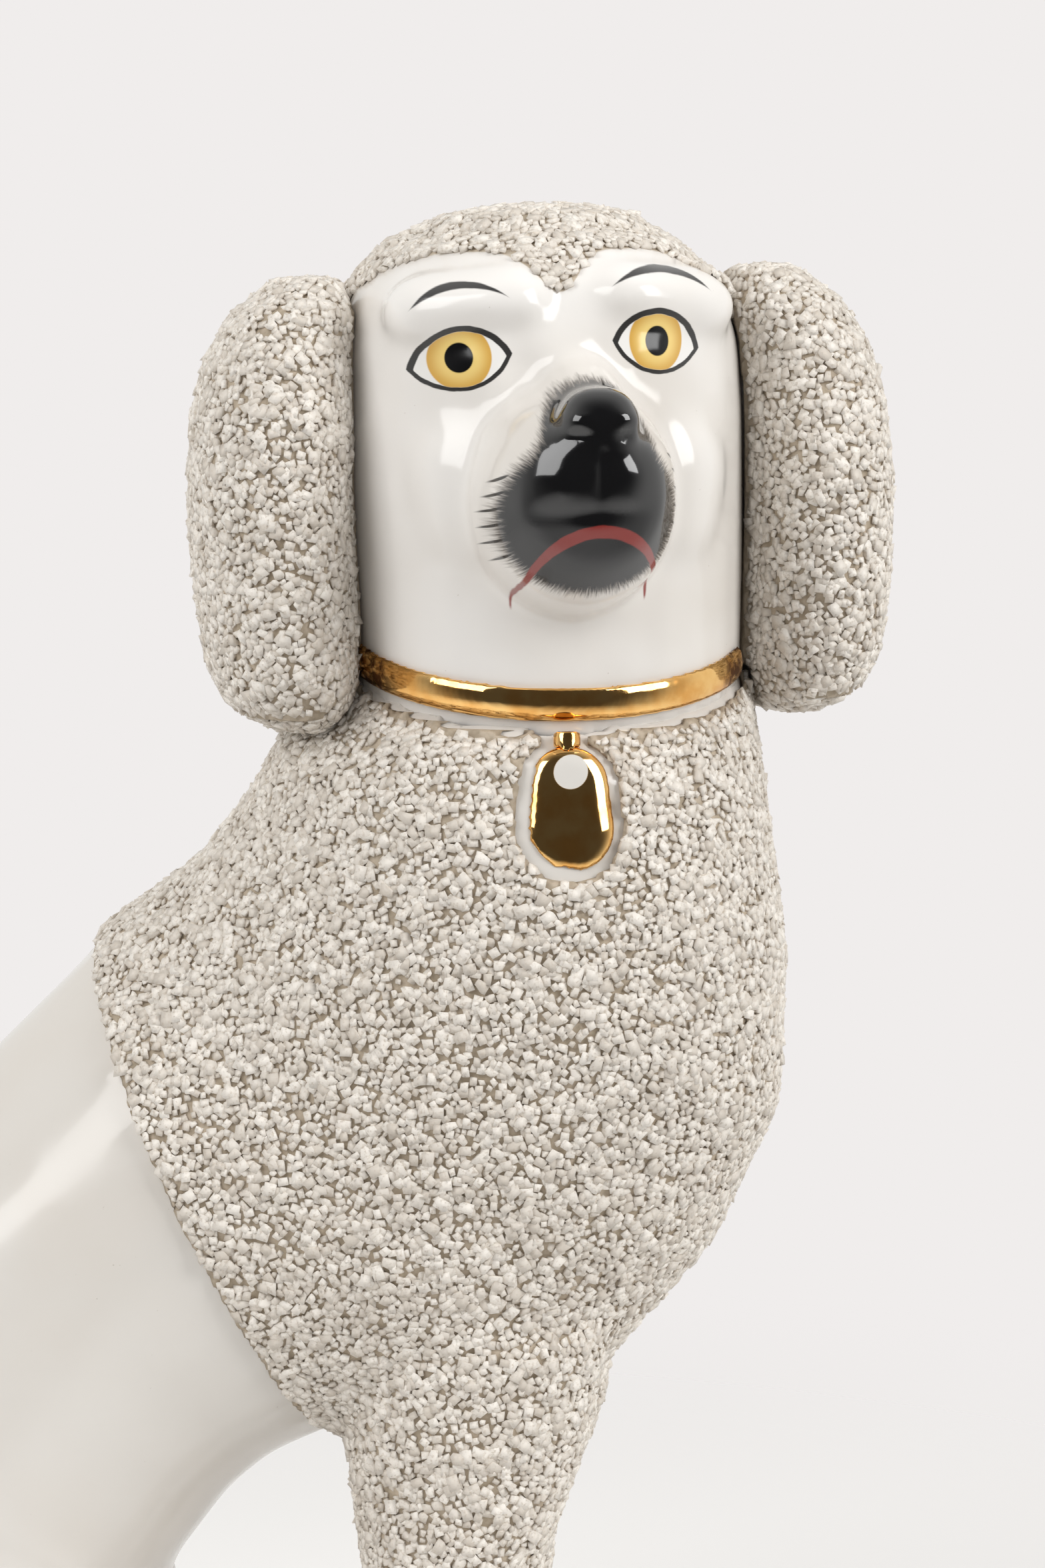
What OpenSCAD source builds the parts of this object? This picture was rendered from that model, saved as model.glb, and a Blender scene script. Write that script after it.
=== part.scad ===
// Seated mantelpiece dog in glazed earthenware, with a coat of crushed clay chips
// on its mantle, ears, crown, forelegs and tail, and a gilt collar and locket.
// The trunk runs along X with the chest at +X. The head is turned toward -Y.
// The origin is the middle of the slab under the haunches, on the plane it stands on.

/* [Body] */
// Length of the trunk from the rump to the chest
trunk_l = 234; // [190:1:290]
// Height of the trunk from the floor to the collar
trunk_h = 263; // [215:1:320]
// Width of the trunk across the haunches
trunk_w = 110; // [90:1:136]
// Wall of the cast trunk and head
wall = 5; // [3:0.5:7]
// Thickness of the slab that closes the base
slab_t = 5; // [3:0.5:8]
// Diameter of the firing vent in the slab
vent_d = 10; // [5:0.5:18]
// Distance of the vent behind the middle of the slab
vent_back = 16; // [12:1:24]

/* [Head] */
// Width of the head without its ears
head_w = 86; // [72:1:102]
// Depth of the head without its muzzle
head_d = 90; // [75:1:108]
// Height of the head above the collar
head_h = 89; // [74:1:106]
// Diameter of the neck under the collar
neck_d = 82; // [68:1:90]
// Turn of the head from the flank toward the chest, in degrees
head_turn = 17; // [0:1:35]
// Lean of the head away from the chest, in degrees
head_lean = 1.5; // [0:0.5:5]
// Turn of the collar and the locket from the flank, in degrees
collar_turn = 11.5; // [0:0.5:25]
// Reach of the muzzle from the axis of the head
muzzle_l = 66; // [56:1:78]
// Offset of the muzzle from the middle of the face toward the dog's left
muzzle_off = -2; // [-4:0.5:4]
// Width of the muzzle
muzzle_w = 42; // [36:1:52]
// Height of the muzzle
muzzle_h = 48; // [40:1:56]
// Width of the nose
nose_w = 16.5; // [12:0.5:22]

/* [Ears] */
// Thickness of an ear with its coat
ear_t = 35; // [28:1:44]
// Length of an ear from top to tip
ear_h = 96; // [78:1:114]
// Depth of an ear from front to back
ear_d = 58; // [46:1:70]

/* [Legs and tail] */
// Width of a foreleg at its narrowest
leg_w = 27; // [20:1:34]
// Distance between the axes of the forelegs
leg_gap = 38; // [32:1:46]
// Length of a forepaw from the axis of the leg
fore_paw_l = 36; // [30:1:44]
// Length of a hind paw in front of the haunch
hind_paw_l = 30; // [22:1:36]
// Width of each paw
paw_w = 28; // [22:1:32]
// Height of each paw
paw_h = 21; // [16:1:26]
// Diameter of the tail
tail_d = 17; // [13:1:22]

/* [Collar and locket] */
// Width of the collar band
collar_h = 7.5; // [5:0.5:10]
// Relief of the collar band
collar_t = 1.8; // [1:0.1:3]
// Angle that the collar band spans, in degrees
collar_span = 156; // [120:1:165]
// Shift of the collar band round the neck, away from the chest, in degrees
collar_shift = 9; // [0:1:15]
// Drop of the collar toward the throat, in degrees
collar_tilt = 14; // [4:1:16]
// Width of the locket
locket_w = 18.6; // [14:0.2:24]
// Height of the locket
locket_h = 26; // [21:0.5:32]
// Relief of the locket above the clay
locket_t = 3.6; // [2:0.2:5]
// Drop from the front of the collar to the middle of the locket
locket_drop = 21; // [19:1:32]

/* [Clay chips] */
// Thickness of the coat of chips
coat_t = 2.6; // [1.5:0.1:4]
// Bare margin between the chips and the gilding
margin = 1.4; // [0.5:0.1:3]
// Height of the bare paws under the coat of the forelegs
bare_h = 22; // [16:1:30]
// Height of the bare foot under the coat of the tail
tail_bare_h = 3; // [2:0.5:6]

/* [Hidden] */

facets = 28;         // sides of each oval section
slice = 0.02;        // thickness of an oval section, so that hull() has a solid to take
far = 600;           // reach of the cutting boxes
near_side = -1;      // the dog's right, which it shows
far_side = 1;        // the dog's left
glaze = [0.93, 0.91, 0.88];
chips = [0.77, 0.73, 0.67];
gilt = [0.83, 0.62, 0.25];
bisque = [0.87, 0.82, 0.73];

// Sections of the trunk from the floor to the shoulders: the point on the back and the
// point on the belly or chest, in percent of trunk_l and trunk_h, and the half width in
// percent of trunk_w.
trunk_sections = [
    [[-19.25, 0], [19.25, 0], 45.5],
    [[-22.25, 7], [19.75, 8], 49],
    [[-21.75, 19], [19.75, 17], 50],
    [[-17.25, 34], [21.75, 24], 48],
    [[-9.75, 49.5], [27.25, 30.5], 45.5],
    [[0.25, 62], [31.25, 33.5], 43.5],
    [[16.75, 76.5], [37.25, 36], 43],
    [[22.25, 80], [57.25, 38], 45],
    [[25.25, 82], [70.75, 52], 47],
    [[30.25, 87.5], [76.75, 63.5], 47.5],
    [[33.25, 92.5], [77.25, 76], 46],
    [[37.75, 95], [75.25, 88], 42]];
mantle_first = 5.9;  // the section, or a place between two, where the coat of chips starts
mantle_last = 0.96;  // how far it reaches from the shoulders' last section to the seam
cavity_last = 4;     // the section of the head where its hollow ends
crown_from = 70;     // height in percent of head_h where the crown starts to close
hairline = 90;       // height in percent of head_h where the coat over the forehead starts

// Sections of the head above the collar: height in percent of head_h, half width in
// percent of head_w, and reach to the front and to the back in percent of head_d.
head_sections = [
    [22, 49, 46.5, 49],
    [36, 49.5, 47.5, 52],
    [53, 50, 47.5, 53],
    [70, 49, 46.5, 51],
    [83, 45, 42, 46],
    [92.5, 35, 32, 36],
    [98, 21, 19, 21],
    [100, 7, 6, 7]];

// Sections of the muzzle: reach in percent of muzzle_l, middle height in percent of
// head_h, half width in percent of muzzle_w and half height in percent of muzzle_h.
muzzle_sections = [
    [40, 36, 53, 54],
    [64, 36, 50, 50],
    [82, 36, 45, 44],
    [94, 38, 34, 31],
    [100, 41, 16, 16]];

// Sections of an ear: height above the collar in percent of ear_h, middle of its
// thickness and half thickness in percent of ear_t, and half depth in percent of ear_d.
ear_sections = [
    [-17, 34, 20, 26],
    [-12, 40, 38, 40],
    [-4, 45, 46, 47],
    [12, 48, 49, 50],
    [34, 50, 50, 50],
    [52, 47, 49, 47],
    [64, 42, 45, 41],
    [73, 34, 38, 33],
    [81, 24, 20, 18]];

// Sections of a foreleg: height in percent of trunk_h, place along it in percent of
// trunk_l, and half sizes along and across as shares of leg_w.
leg_sections = [
    [3, 48.5, 0.5, 0.46],
    [10, 48, 0.5, 0.48],
    [17.5, 48, 0.54, 0.52],
    [26, 48.5, 0.62, 0.58],
    [37, 50, 0.88, 0.72],
    [46, 51, 0.94, 0.76]];

// Sections of the tail, which lies on the floor round the near haunch: place along
// and across in percent of trunk_l and trunk_w, and diameter as a share of tail_d.
tail_sections = [
    [-20, -4, 0.9],
    [-21, -22, 1],
    [-18, -38, 1],
    [-12, -50, 1],
    [-4, -57, 1],
    [4, -60, 1.05],
    [11, -60, 1.1],
    [16, -58, 0.8]];
tuft_first = 4;      // the section where the tail's tuft of chips starts

neck_at = [0.5625 * trunk_l, 0, trunk_h];
// Directions of the head's frame, and of the collar's.
head_right = [cos(head_lean) * cos(head_turn), cos(head_lean) * sin(head_turn), sin(head_lean)];
head_back = [-sin(head_turn), cos(head_turn), 0];
head_up = cross(head_right, head_back);
neck_right = [cos(collar_turn), sin(collar_turn), 0];
neck_back = [-sin(collar_turn) * cos(collar_tilt), cos(collar_turn) * cos(collar_tilt), sin(collar_tilt)];
neck_up = cross(neck_right, neck_back);
seam_drop = collar_h / 2 + margin;   // from the middle of the collar to the luted seam
haunch_x = 0.1975 * trunk_l;
hind_gap = 0.66 * trunk_w;
loop_w = 0.3 * locket_w;
ear_top = 0.81 * ear_h;
leg_x = 0.48 * trunk_l;
nose_at = [muzzle_off / 3, -0.95 * muzzle_l, 0.535 * head_h];
flank_slope = (0.46 * trunk_w - neck_d / 2) / (0.19 * trunk_h);
collar_front = neck_d / 2 * sin(collar_tilt);   // how far the collar's front hangs below its middle
slab_sides = [0.1925 * trunk_l - wall, 0.455 * trunk_w - wall];

// The head's own frame: its axis upright, its face toward -Y.
module in_head_frame() translate(neck_at) rotate([0, -head_lean, head_turn]) children();

// The collar's frame, at the same place and tipped toward the throat.
module in_neck_frame() translate(neck_at) rotate([0, 0, collar_turn]) rotate([collar_tilt, 0, 0]) children();

module above_floor() intersection() {
    children();
    translate([-far / 2, -far / 2, 0]) cube(far);
}

module ball(r) scale(r) sphere(r = 1, $fn = 16);

// Oval ring of points round a middle, from its two half axes.
function ring(middle, u, v) = [for (i = [0 : facets - 1])
    middle + u * cos(i * 360 / facets) + v * sin(i * 360 / facets)];

// One closed skin over a list of rings, each counter-clockwise seen from the next.
module skin(rings) {
    n = facets;
    last = len(rings) - 1;
    polyhedron(points = [for (r = rings) each r], faces = concat(
        [[for (i = [0 : n - 1]) i], [for (i = [n - 1 : -1 : 0]) last * n + i]],
        [for (k = [0 : n : (last - 1) * n], i = [0 : n - 1]) [k + i, k + n + i, k + n + (i + 1) % n]],
        [for (k = [0 : n : (last - 1) * n], i = [0 : n - 1]) [k + i, k + n + (i + 1) % n, k + (i + 1) % n]]));
}

// A section of the trunk by its number, or between two of them.
function trunk_section(n) = let (i = floor(n), s = trunk_sections[i])
    n == i ? s : s + (trunk_sections[i + 1] - s) * (n - i);

function trunk_ring(s, grow) = let (
    back = [s[0][0] * trunk_l, 0, s[0][1] * trunk_h] / 100,
    front = [s[1][0] * trunk_l, 0, s[1][1] * trunk_h] / 100,
    half = norm(front - back) / 2)
    ring((back + front) / 2, (front - back) / 2 * (1 + grow / half), [0, s[2] * trunk_w / 100 + grow, 0]);

// Ring round the neck at a height above the collar, its first point turned by an angle.
function neck_ring(z, grow, turn) = let (r = neck_d / 2 + grow) ring(neck_at + neck_up * z,
    (neck_right * cos(turn) + neck_back * sin(turn)) * r,
    (neck_back * cos(turn) - neck_right * sin(turn)) * r);

// Ring of the head, which grows upward too where it closes over the crown.
function head_ring(s, grow) = let (front = s[2] * head_d / 100, back = s[3] * head_d / 100,
    z = s[0] * head_h / 100 + grow * max(0, s[0] - crown_from) / (100 - crown_from))
    ring(neck_at + head_up * z + head_back * (back - front) / 2,
        head_right * (s[1] * head_w / 100 + grow), head_back * ((front + back) / 2 + grow));

function muzzle_ring(s) = ring(neck_at + head_right * muzzle_off - head_back * s[0] * muzzle_l / 100
    + head_up * s[1] * head_h / 100, head_right * s[2] * muzzle_w / 100, head_up * s[3] * muzzle_h / 100);

// The trunk from one of its sections up to a height in the neck, by default the seam. A foot
// carries the first section straight down, for a hollow that opens through the floor.
module trunk_skin(first, grow, top = -seam_drop, foot = 0) skin(concat(
    foot > 0 ? [[for (p = trunk_ring(trunk_section(first), grow)) p - [0, 0, foot]]] : [],
    first > floor(first) ? [trunk_ring(trunk_section(first), grow)] : [],
    [for (i = [ceil(first) : len(trunk_sections) - 1]) trunk_ring(trunk_sections[i], grow)],
    [neck_ring(top, grow, -collar_turn)]));

// The outer skin of the mantle's coat, which stops a little short of the seam.
module mantle_skin() skin(concat(
    [trunk_ring(trunk_section(mantle_first), coat_t)],
    [for (i = [ceil(mantle_first) : len(trunk_sections) - 1]) trunk_ring(trunk_sections[i], coat_t)],
    [let (last = trunk_ring(trunk_sections[len(trunk_sections) - 1], coat_t),
        seam = neck_ring(-seam_drop, coat_t, -collar_turn)) last + (seam - last) * mantle_last]));

// The head from a height in the neck up to one of its sections.
module head_skin(grow, from = -seam_drop, last = len(head_sections) - 1) skin(concat(
    [neck_ring(from, grow, head_turn - collar_turn), neck_ring(seam_drop, grow, head_turn - collar_turn)],
    [for (i = [0 : last]) head_ring(head_sections[i], grow)]));

// Haunch and thigh down to the stifle, standing out of the trunk's side.
module thigh(side, grow) {
    hull() {
        thigh_ball(side, [-2, 26, 26], [14, 22, 14], grow);
        thigh_ball(side, [0, 31, 19.5], [19, 23, 16.5], grow);
    }
    hull() {
        thigh_ball(side, [0, 31, 19.5], [19, 23, 16.5], grow);
        thigh_ball(side, [11, 34, 14.5], [9, 15, 9], grow);
    }
}

// Ball at a place, with radii, both in percent of the trunk's length, width and height.
module thigh_ball(side, at, r, grow)
    translate([at[0] * trunk_l, side * at[1] * trunk_w, at[2] * trunk_h] / 100)
        ball([r[0] * trunk_l / 100 + grow, r[1] * trunk_w / 100 + grow, r[2] * trunk_h / 100 + grow]);

module trunk_form() above_floor() {
    trunk_skin(0, 0);
    thigh(near_side, 0);
    thigh(far_side, 0);
}

// Hollow of the trunk, open through the foot and the neck.
module trunk_cavity() {
    trunk_skin(0, -wall, 0, wall);
    thigh(near_side, -wall);
    thigh(far_side, -wall);
}

// A soft bulge of the face between two points in the head's frame.
module swell(p, q, r) in_head_frame() hull() {
    translate(p) ball(r);
    translate(q) ball(r);
}

module muzzle() {
    skin([for (s = muzzle_sections) muzzle_ring(s)]);
    for (side = [-1, 1]) {
        // upper lip
        swell([muzzle_off + side * muzzle_w * 0.2, -0.79 * muzzle_l, 0.41 * head_h],
            [muzzle_off + side * muzzle_w * 0.24, -0.62 * muzzle_l, 0.33 * head_h],
            muzzle_w * [0.25, 0.25, 0.27]);
        // brow
        swell([side * head_w * 0.13, -0.32 * head_d, 0.8 * head_h],
            [side * head_w * 0.3, -0.25 * head_d, 0.78 * head_h], head_w * [0.13, 0.15, 0.1]);
        // cheek
        swell([side * head_w * 0.22, -0.24 * head_d, 0.42 * head_h],
            [side * head_w * 0.2, -0.24 * head_d, 0.3 * head_h], head_w * [0.18, 0.22, 0.2]);
    }
    // bridge of the nose
    swell([0, -0.39 * head_d, 0.62 * head_h], nose_at + [0, nose_w * 0.4, 0],
        nose_w * [0.52, 0.52, 0.46]);
    // nose
    swell(nose_at - [nose_w * 0.1, 0, 0], nose_at + [nose_w * 0.1, 0, 0], nose_w * [0.42, 0.42, 0.45]);
    // chin
    swell([muzzle_off, -0.68 * muzzle_l, 0.2 * head_h], [muzzle_off, -0.5 * muzzle_l, 0.17 * head_h],
        muzzle_w * [0.28, 0.26, 0.22]);
}

// Hollow of the head, open through the neck.
module head_cavity() head_skin(-wall, -seam_drop - wall, cavity_last);

// An ear with its coat, or the clay under it where inset is the coat's thickness.
function ear_ring(s, side, inset, z) = ring(neck_at + head_up * z
    + head_right * side * (0.465 * head_w + s[1] * ear_t / 100),
    head_right * max(s[2] * ear_t / 100 - inset, 2), head_back * (s[3] * ear_d / 100 - inset));

module ear_form(side, inset) skin([for (s = ear_sections) ear_ring(s, side, inset,
    max(ear_sections[0][0] * ear_h / 100 + inset, min(ear_top - inset, s[0] * ear_h / 100)
        + (s[0] < 50 ? 0 : -inset * s[0] / 100)))]);

module leg_slice(s, side, grow) translate([s[1] * trunk_l, side * leg_gap * 50, s[0] * trunk_h] / 100)
    scale([s[2] * leg_w + grow, s[3] * leg_w + grow, 1])
        cylinder(h = slice, r = 1, center = true, $fn = facets);

module leg_loft(side, grow) for (i = [0 : len(leg_sections) - 2]) hull() {
    leg_slice(leg_sections[i], side, grow);
    leg_slice(leg_sections[i + 1], side, grow);
}

// A paw on the floor, with its heel at the origin and its toes toward +X.
module paw(l) above_floor() {
    toe_r = paw_w / 5.4;
    for (i = [-1.5 : 1 : 1.5]) hull() {
        translate([0, 0, paw_h * 0.45]) ball([paw_w * 0.42, paw_w * 0.42, paw_h * 0.55]);
        translate([l - toe_r - abs(i) * toe_r * 0.35, i * paw_w / 4, toe_r * 0.8])
            ball([toe_r, toe_r * 0.9, toe_r * 1.05]);
    }
}

module foreleg_form(side) {
    leg_loft(side, 0);
    translate([leg_x, side * leg_gap / 2, 0]) paw(fore_paw_l);
}

module tail_ball(s, grow) {
    r = s[2] * tail_d / 2 + grow;
    translate([s[0] * trunk_l / 100, s[1] * trunk_w / 100, r]) ball([r, r, r]);
}

module tail_loft(first, grow) for (i = [first : len(tail_sections) - 2]) hull() {
    tail_ball(tail_sections[i], grow);
    tail_ball(tail_sections[i + 1], grow);
}

// The locket's frame: on the flank under the throat, leaning with the flank.
module in_locket_frame() translate(neck_at) rotate([0, 0, collar_turn])
    translate([0, -neck_d / 2 - flank_slope * locket_drop, -collar_front - locket_drop])
        rotate([90 - atan(flank_slope), 0, 0]) children();

// Egg-shaped outline, narrow end up.
module egg(grow) hull() {
    translate([0, -(locket_h - locket_w) / 2]) circle(r = locket_w / 2 + grow, $fn = 32);
    translate([0, locket_h / 2 - locket_w * 0.45]) circle(r = locket_w * 0.45 + grow, $fn = 32);
}

module locket_bed() in_locket_frame() translate([0, 0, -wall]) linear_extrude(2 * wall) {
    egg(margin);
    translate([-loop_w / 2 - margin, 0]) square([loop_w + 2 * margin, locket_drop]);
}

module locket_form() in_locket_frame() hull() {
    translate([0, 0, -wall]) linear_extrude(wall + locket_t * 0.5) egg(0);
    linear_extrude(locket_t * 0.8) egg(-0.08 * locket_w);
    linear_extrude(locket_t) egg(-0.2 * locket_w);
}

module head_form(from = -seam_drop) {
    head_skin(0, from);
    muzzle();
}

module body_shell() color(glaze) difference() {
    trunk_form();
    trunk_cavity();
}

// Slab luted into the foot of the trunk, with the vent that lets the kiln's gases out.
module base_slab() color(bisque) difference() {
    linear_extrude(slab_t) polygon([for (i = [0 : facets - 1])
        [slab_sides[0] * cos(i * 360 / facets), slab_sides[1] * sin(i * 360 / facets)]]);
    translate([-vent_back, 0, -1]) cylinder(h = slab_t + 2, d = vent_d, $fn = 48);
}

module head_shell() color(glaze) difference() {
    head_form();
    head_cavity();
}

module ear(side) color(glaze) difference() {
    ear_form(side, coat_t);
    head_form(-2 * seam_drop);
    trunk_skin(mantle_first, coat_t);
    collar_form();
}

// Everything past the middle plane from one side, where the two forelegs meet.
module beyond_middle(side) translate([-far / 2, side == near_side ? 0 : -far, -far / 2]) cube(far);

module foreleg(side) color(glaze) difference() {
    foreleg_form(side);
    trunk_skin(0, 0);
    beyond_middle(side);
}

module hind_paw(side) color(glaze) difference() {
    translate([haunch_x - paw_w / 4, side * hind_gap / 2, 0]) paw(hind_paw_l + paw_w / 4);
    trunk_form();
}

module tail() color(glaze) above_floor() difference() {
    tail_loft(0, 0);
    trunk_form();
}

// D-shaped band round the throat from ear to ear.
module collar_form() in_neck_frame() rotate([0, 0, -90 - collar_shift - collar_span / 2])
    rotate_extrude(angle = collar_span, $fn = 72) translate([neck_d / 2, 0])
        polygon([for (a = [-90 : 15 : 90]) [collar_t * cos(a), collar_h / 2 * sin(a)]]);

module collar_band() color(gilt) collar_form();

module locket() color(gilt) difference() {
    locket_form();
    trunk_form();
}

// Stem that joins the locket to the collar.
module locket_loop() color(gilt) difference() {
    in_locket_frame() translate([0, locket_h / 2 - loop_w, 0]) rotate([-90, 0, 0])
        cylinder(h = locket_drop - locket_h / 2 + loop_w - seam_drop, d = loop_w, $fn = 24);
    locket_form();
    trunk_form();
    head_skin(0);
}

// Coat on the crown and the back of the head, down to the seam.
module head_grit() color(chips) difference() {
    intersection() {
        head_skin(coat_t);
        in_head_frame() union() {
            translate([-far / 2, 0, -seam_drop - 3 * wall]) cube(far);
            translate([-far / 2, -far / 2, hairline * head_h / 100]) cube(far);
        }
    }
    head_form(-2 * seam_drop);
    ear_form(near_side, 0);
    ear_form(far_side, 0);
    collar_form();
}

module ear_grit(side) color(chips) difference() {
    ear_form(side, 0);
    ear_form(side, coat_t);
    head_form(-2 * seam_drop);
    trunk_skin(mantle_first, coat_t);
    collar_form();
}

module mantle_grit() color(chips) difference() {
    mantle_skin();
    trunk_skin(floor(mantle_first), 0);
    foreleg_form(near_side);
    foreleg_form(far_side);
    locket_bed();
}

module foreleg_grit(side) color(chips) difference() {
    leg_loft(side, coat_t);
    foreleg_form(side);
    trunk_skin(floor(mantle_first), 0);
    trunk_skin(mantle_first, coat_t);
    translate([-far / 2, -far / 2, bare_h - far]) cube(far);
    beyond_middle(side);
}

module tail_grit() color(chips) difference() {
    translate([0, 0, -coat_t]) tail_loft(tuft_first, coat_t);
    tail_loft(0, 0);
    trunk_form();
    translate([-far / 2, -far / 2, tail_bare_h - far]) cube(far);
}

body_shell();
base_slab();
head_shell();
ear(near_side);  // right_ear
ear(far_side);  // left_ear
foreleg(near_side);  // right_foreleg
foreleg(far_side);  // left_foreleg
hind_paw(near_side);  // right_hind_paw
hind_paw(far_side);  // left_hind_paw
tail();
collar_band();
locket();
locket_loop();
head_grit();
ear_grit(near_side);  // right_ear_grit
ear_grit(far_side);  // left_ear_grit
mantle_grit();
foreleg_grit(near_side);  // right_foreleg_grit
foreleg_grit(far_side);  // left_foreleg_grit
tail_grit();
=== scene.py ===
"""Seated mantelpiece dog in glazed earthenware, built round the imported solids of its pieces."""
import math

import bpy
import numpy as np
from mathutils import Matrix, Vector
from mathutils.bvhtree import BVHTree


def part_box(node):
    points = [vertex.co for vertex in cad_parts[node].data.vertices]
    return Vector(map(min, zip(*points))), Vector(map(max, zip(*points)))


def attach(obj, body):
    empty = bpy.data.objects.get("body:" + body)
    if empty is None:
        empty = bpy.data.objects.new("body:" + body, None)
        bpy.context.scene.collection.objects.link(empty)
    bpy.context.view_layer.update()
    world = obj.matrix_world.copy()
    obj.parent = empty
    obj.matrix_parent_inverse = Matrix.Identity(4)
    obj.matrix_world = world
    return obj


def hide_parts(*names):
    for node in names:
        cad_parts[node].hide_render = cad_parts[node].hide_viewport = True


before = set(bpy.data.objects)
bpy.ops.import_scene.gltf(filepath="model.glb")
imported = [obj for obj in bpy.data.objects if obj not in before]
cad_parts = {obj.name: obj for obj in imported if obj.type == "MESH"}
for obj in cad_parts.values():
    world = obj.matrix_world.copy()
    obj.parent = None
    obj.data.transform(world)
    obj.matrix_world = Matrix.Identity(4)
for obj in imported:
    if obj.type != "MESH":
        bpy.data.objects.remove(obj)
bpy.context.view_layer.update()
MM = 0.001

# ---------------------------------------------------------------------------------------
# Trunk. White earthenware cast hollow in a two-part mould, dipped in a clear glaze that
# softens every edge. The neck is luted to the head, and the slab closes the foot.
# ---------------------------------------------------------------------------------------
TRUNK_LONG, TRUNK_HIGH = 234 * MM, 263 * MM
neck = Vector((0.5625 * TRUNK_LONG, 0.0, TRUNK_HIGH))
collar_turn, collar_tilt = math.radians(11.5), math.radians(14)
neck_up = np.array((math.sin(collar_turn) * math.sin(collar_tilt),
                    -math.cos(collar_turn) * math.sin(collar_tilt), math.cos(collar_tilt)))
# The seam is lower than the middle of the collar, and the rubbing fades out over a band by it.
SEAM, SEAM_BAND = -5.15 * MM, 8 * MM


def above_collar(points):
    """Heights over the slanting plane of the collar, on which head and neck were luted."""
    return (points - np.array(neck)) @ neck_up


def get_points(piece):
    """The corners of a piece's mesh, one row each."""
    points = np.empty(len(piece.data.vertices) * 3)
    piece.data.vertices.foreach_get("co", points)
    return points.reshape(-1, 3)


def rub(piece, times, where=None):
    """Smooth the active piece, all over or by an amount from 0 to 1 at each point."""
    bpy.ops.object.modifier_add(type="SMOOTH")
    piece.modifiers[0].factor = 0.5
    piece.modifiers[0].iterations = times
    if where is not None:
        soft = piece.vertex_groups.new(name="soft")
        for step in range(1, 11):
            soft.add(np.flatnonzero(np.rint(where * 10) == step).tolist(), step / 10, "REPLACE")
        piece.modifiers[0].vertex_group = soft.name
    bpy.ops.object.modifier_apply(modifier=piece.modifiers[0].name)
    piece.vertex_groups.clear()


def distances(points, nodes):
    """How far each point is from the nearest surface of some CAD solids."""
    skins = []
    for node in nodes:
        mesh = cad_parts[node].data
        corners = [v.co for v in mesh.vertices]
        skins.append(BVHTree.FromPolygons(corners, [face.vertices for face in mesh.polygons]))
    return np.array([min(skin.find_nearest(Vector(p))[3] for skin in skins) for p in points])


def clay_from(name, nodes, grain, rubs, soft=None):
    """A new piece shaped from CAD solids, remeshed to an even grain and rubbed smooth."""
    bpy.ops.object.select_all(action="DESELECT")
    for node in nodes:
        piece = bpy.data.objects.new(name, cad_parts[node].data.copy())
        bpy.context.scene.collection.objects.link(piece)
        piece.select_set(True)
        bpy.context.view_layer.objects.active = piece
    if len(nodes) > 1:
        bpy.ops.object.join()
    piece.data.name = name
    piece.data.materials.clear()
    bpy.ops.object.mode_set(mode="EDIT")
    bpy.ops.mesh.select_all(action="SELECT")
    bpy.ops.mesh.remove_doubles(threshold=1e-6)
    bpy.ops.object.mode_set(mode="OBJECT")
    bpy.ops.object.modifier_add(type="REMESH")
    piece.modifiers[0].mode = "VOXEL"
    piece.modifiers[0].voxel_size = grain
    bpy.ops.object.modifier_apply(modifier=piece.modifiers[0].name)
    rub(piece, rubs, soft and soft(get_points(piece)))
    bpy.ops.object.shade_smooth()
    return piece


def new_finish(name):
    """A material with its node tree and its shader."""
    finish = bpy.data.materials.new(name)
    finish.use_nodes = True
    return finish, finish.node_tree, finish.node_tree.nodes["Principled BSDF"]


def add(tree, kind, inputs=None, **settings):
    """A shader node with its settings, and its inputs set or linked."""
    made = tree.nodes.new("ShaderNode" + kind)
    for key, value in settings.items():
        setattr(made, key, value)
    for key, value in (inputs or {}).items():
        if isinstance(value, bpy.types.NodeSocket):
            tree.links.new(value, made.inputs[key])
        else:
            made.inputs[key].default_value = value
    return made


def calc(tree, operation, *values):
    """One step of arithmetic in a shader."""
    return add(tree, "Math", dict(enumerate(values)), operation=operation).outputs[0]


def rise(tree, value, low, high):
    """0 below low, 1 above high, and a soft step between."""
    return add(tree, "MapRange", {0: value, 1: low, 2: high}, interpolation_type="SMOOTHSTEP").outputs[0]


def over(tree, amount, under, paint):
    """One colour laid over another by an amount from 0 to 1."""
    return add(tree, "Mix", {0: amount, 6: under, 7: paint}, data_type="RGBA").outputs[2]


def colour(red, green, blue):
    """A linear colour from screen values of 0 to 255."""
    return tuple(((c / 255 + 0.055) / 1.055) ** 2.4 for c in (red, green, blue)) + (1.0,)


def glaze_colour(tree, place, fair=colour(217, 213, 207)):
    """Off-white body seen through a glaze that pools a little warmer here and there."""
    pooled = add(tree, "TexNoise", {"Vector": place, "Scale": 14.0, "Detail": 3.0})
    specks = add(tree, "TexNoise", {"Vector": place, "Scale": 900.0, "Detail": 1.0})
    tint = over(tree, rise(tree, pooled.outputs[0], 0.35, 0.7), fair, colour(214, 208, 200))
    dark = calc(tree, "MULTIPLY", rise(tree, specks.outputs[0], 0.79, 0.84), 0.35)
    return over(tree, dark, tint, colour(150, 138, 120))


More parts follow.
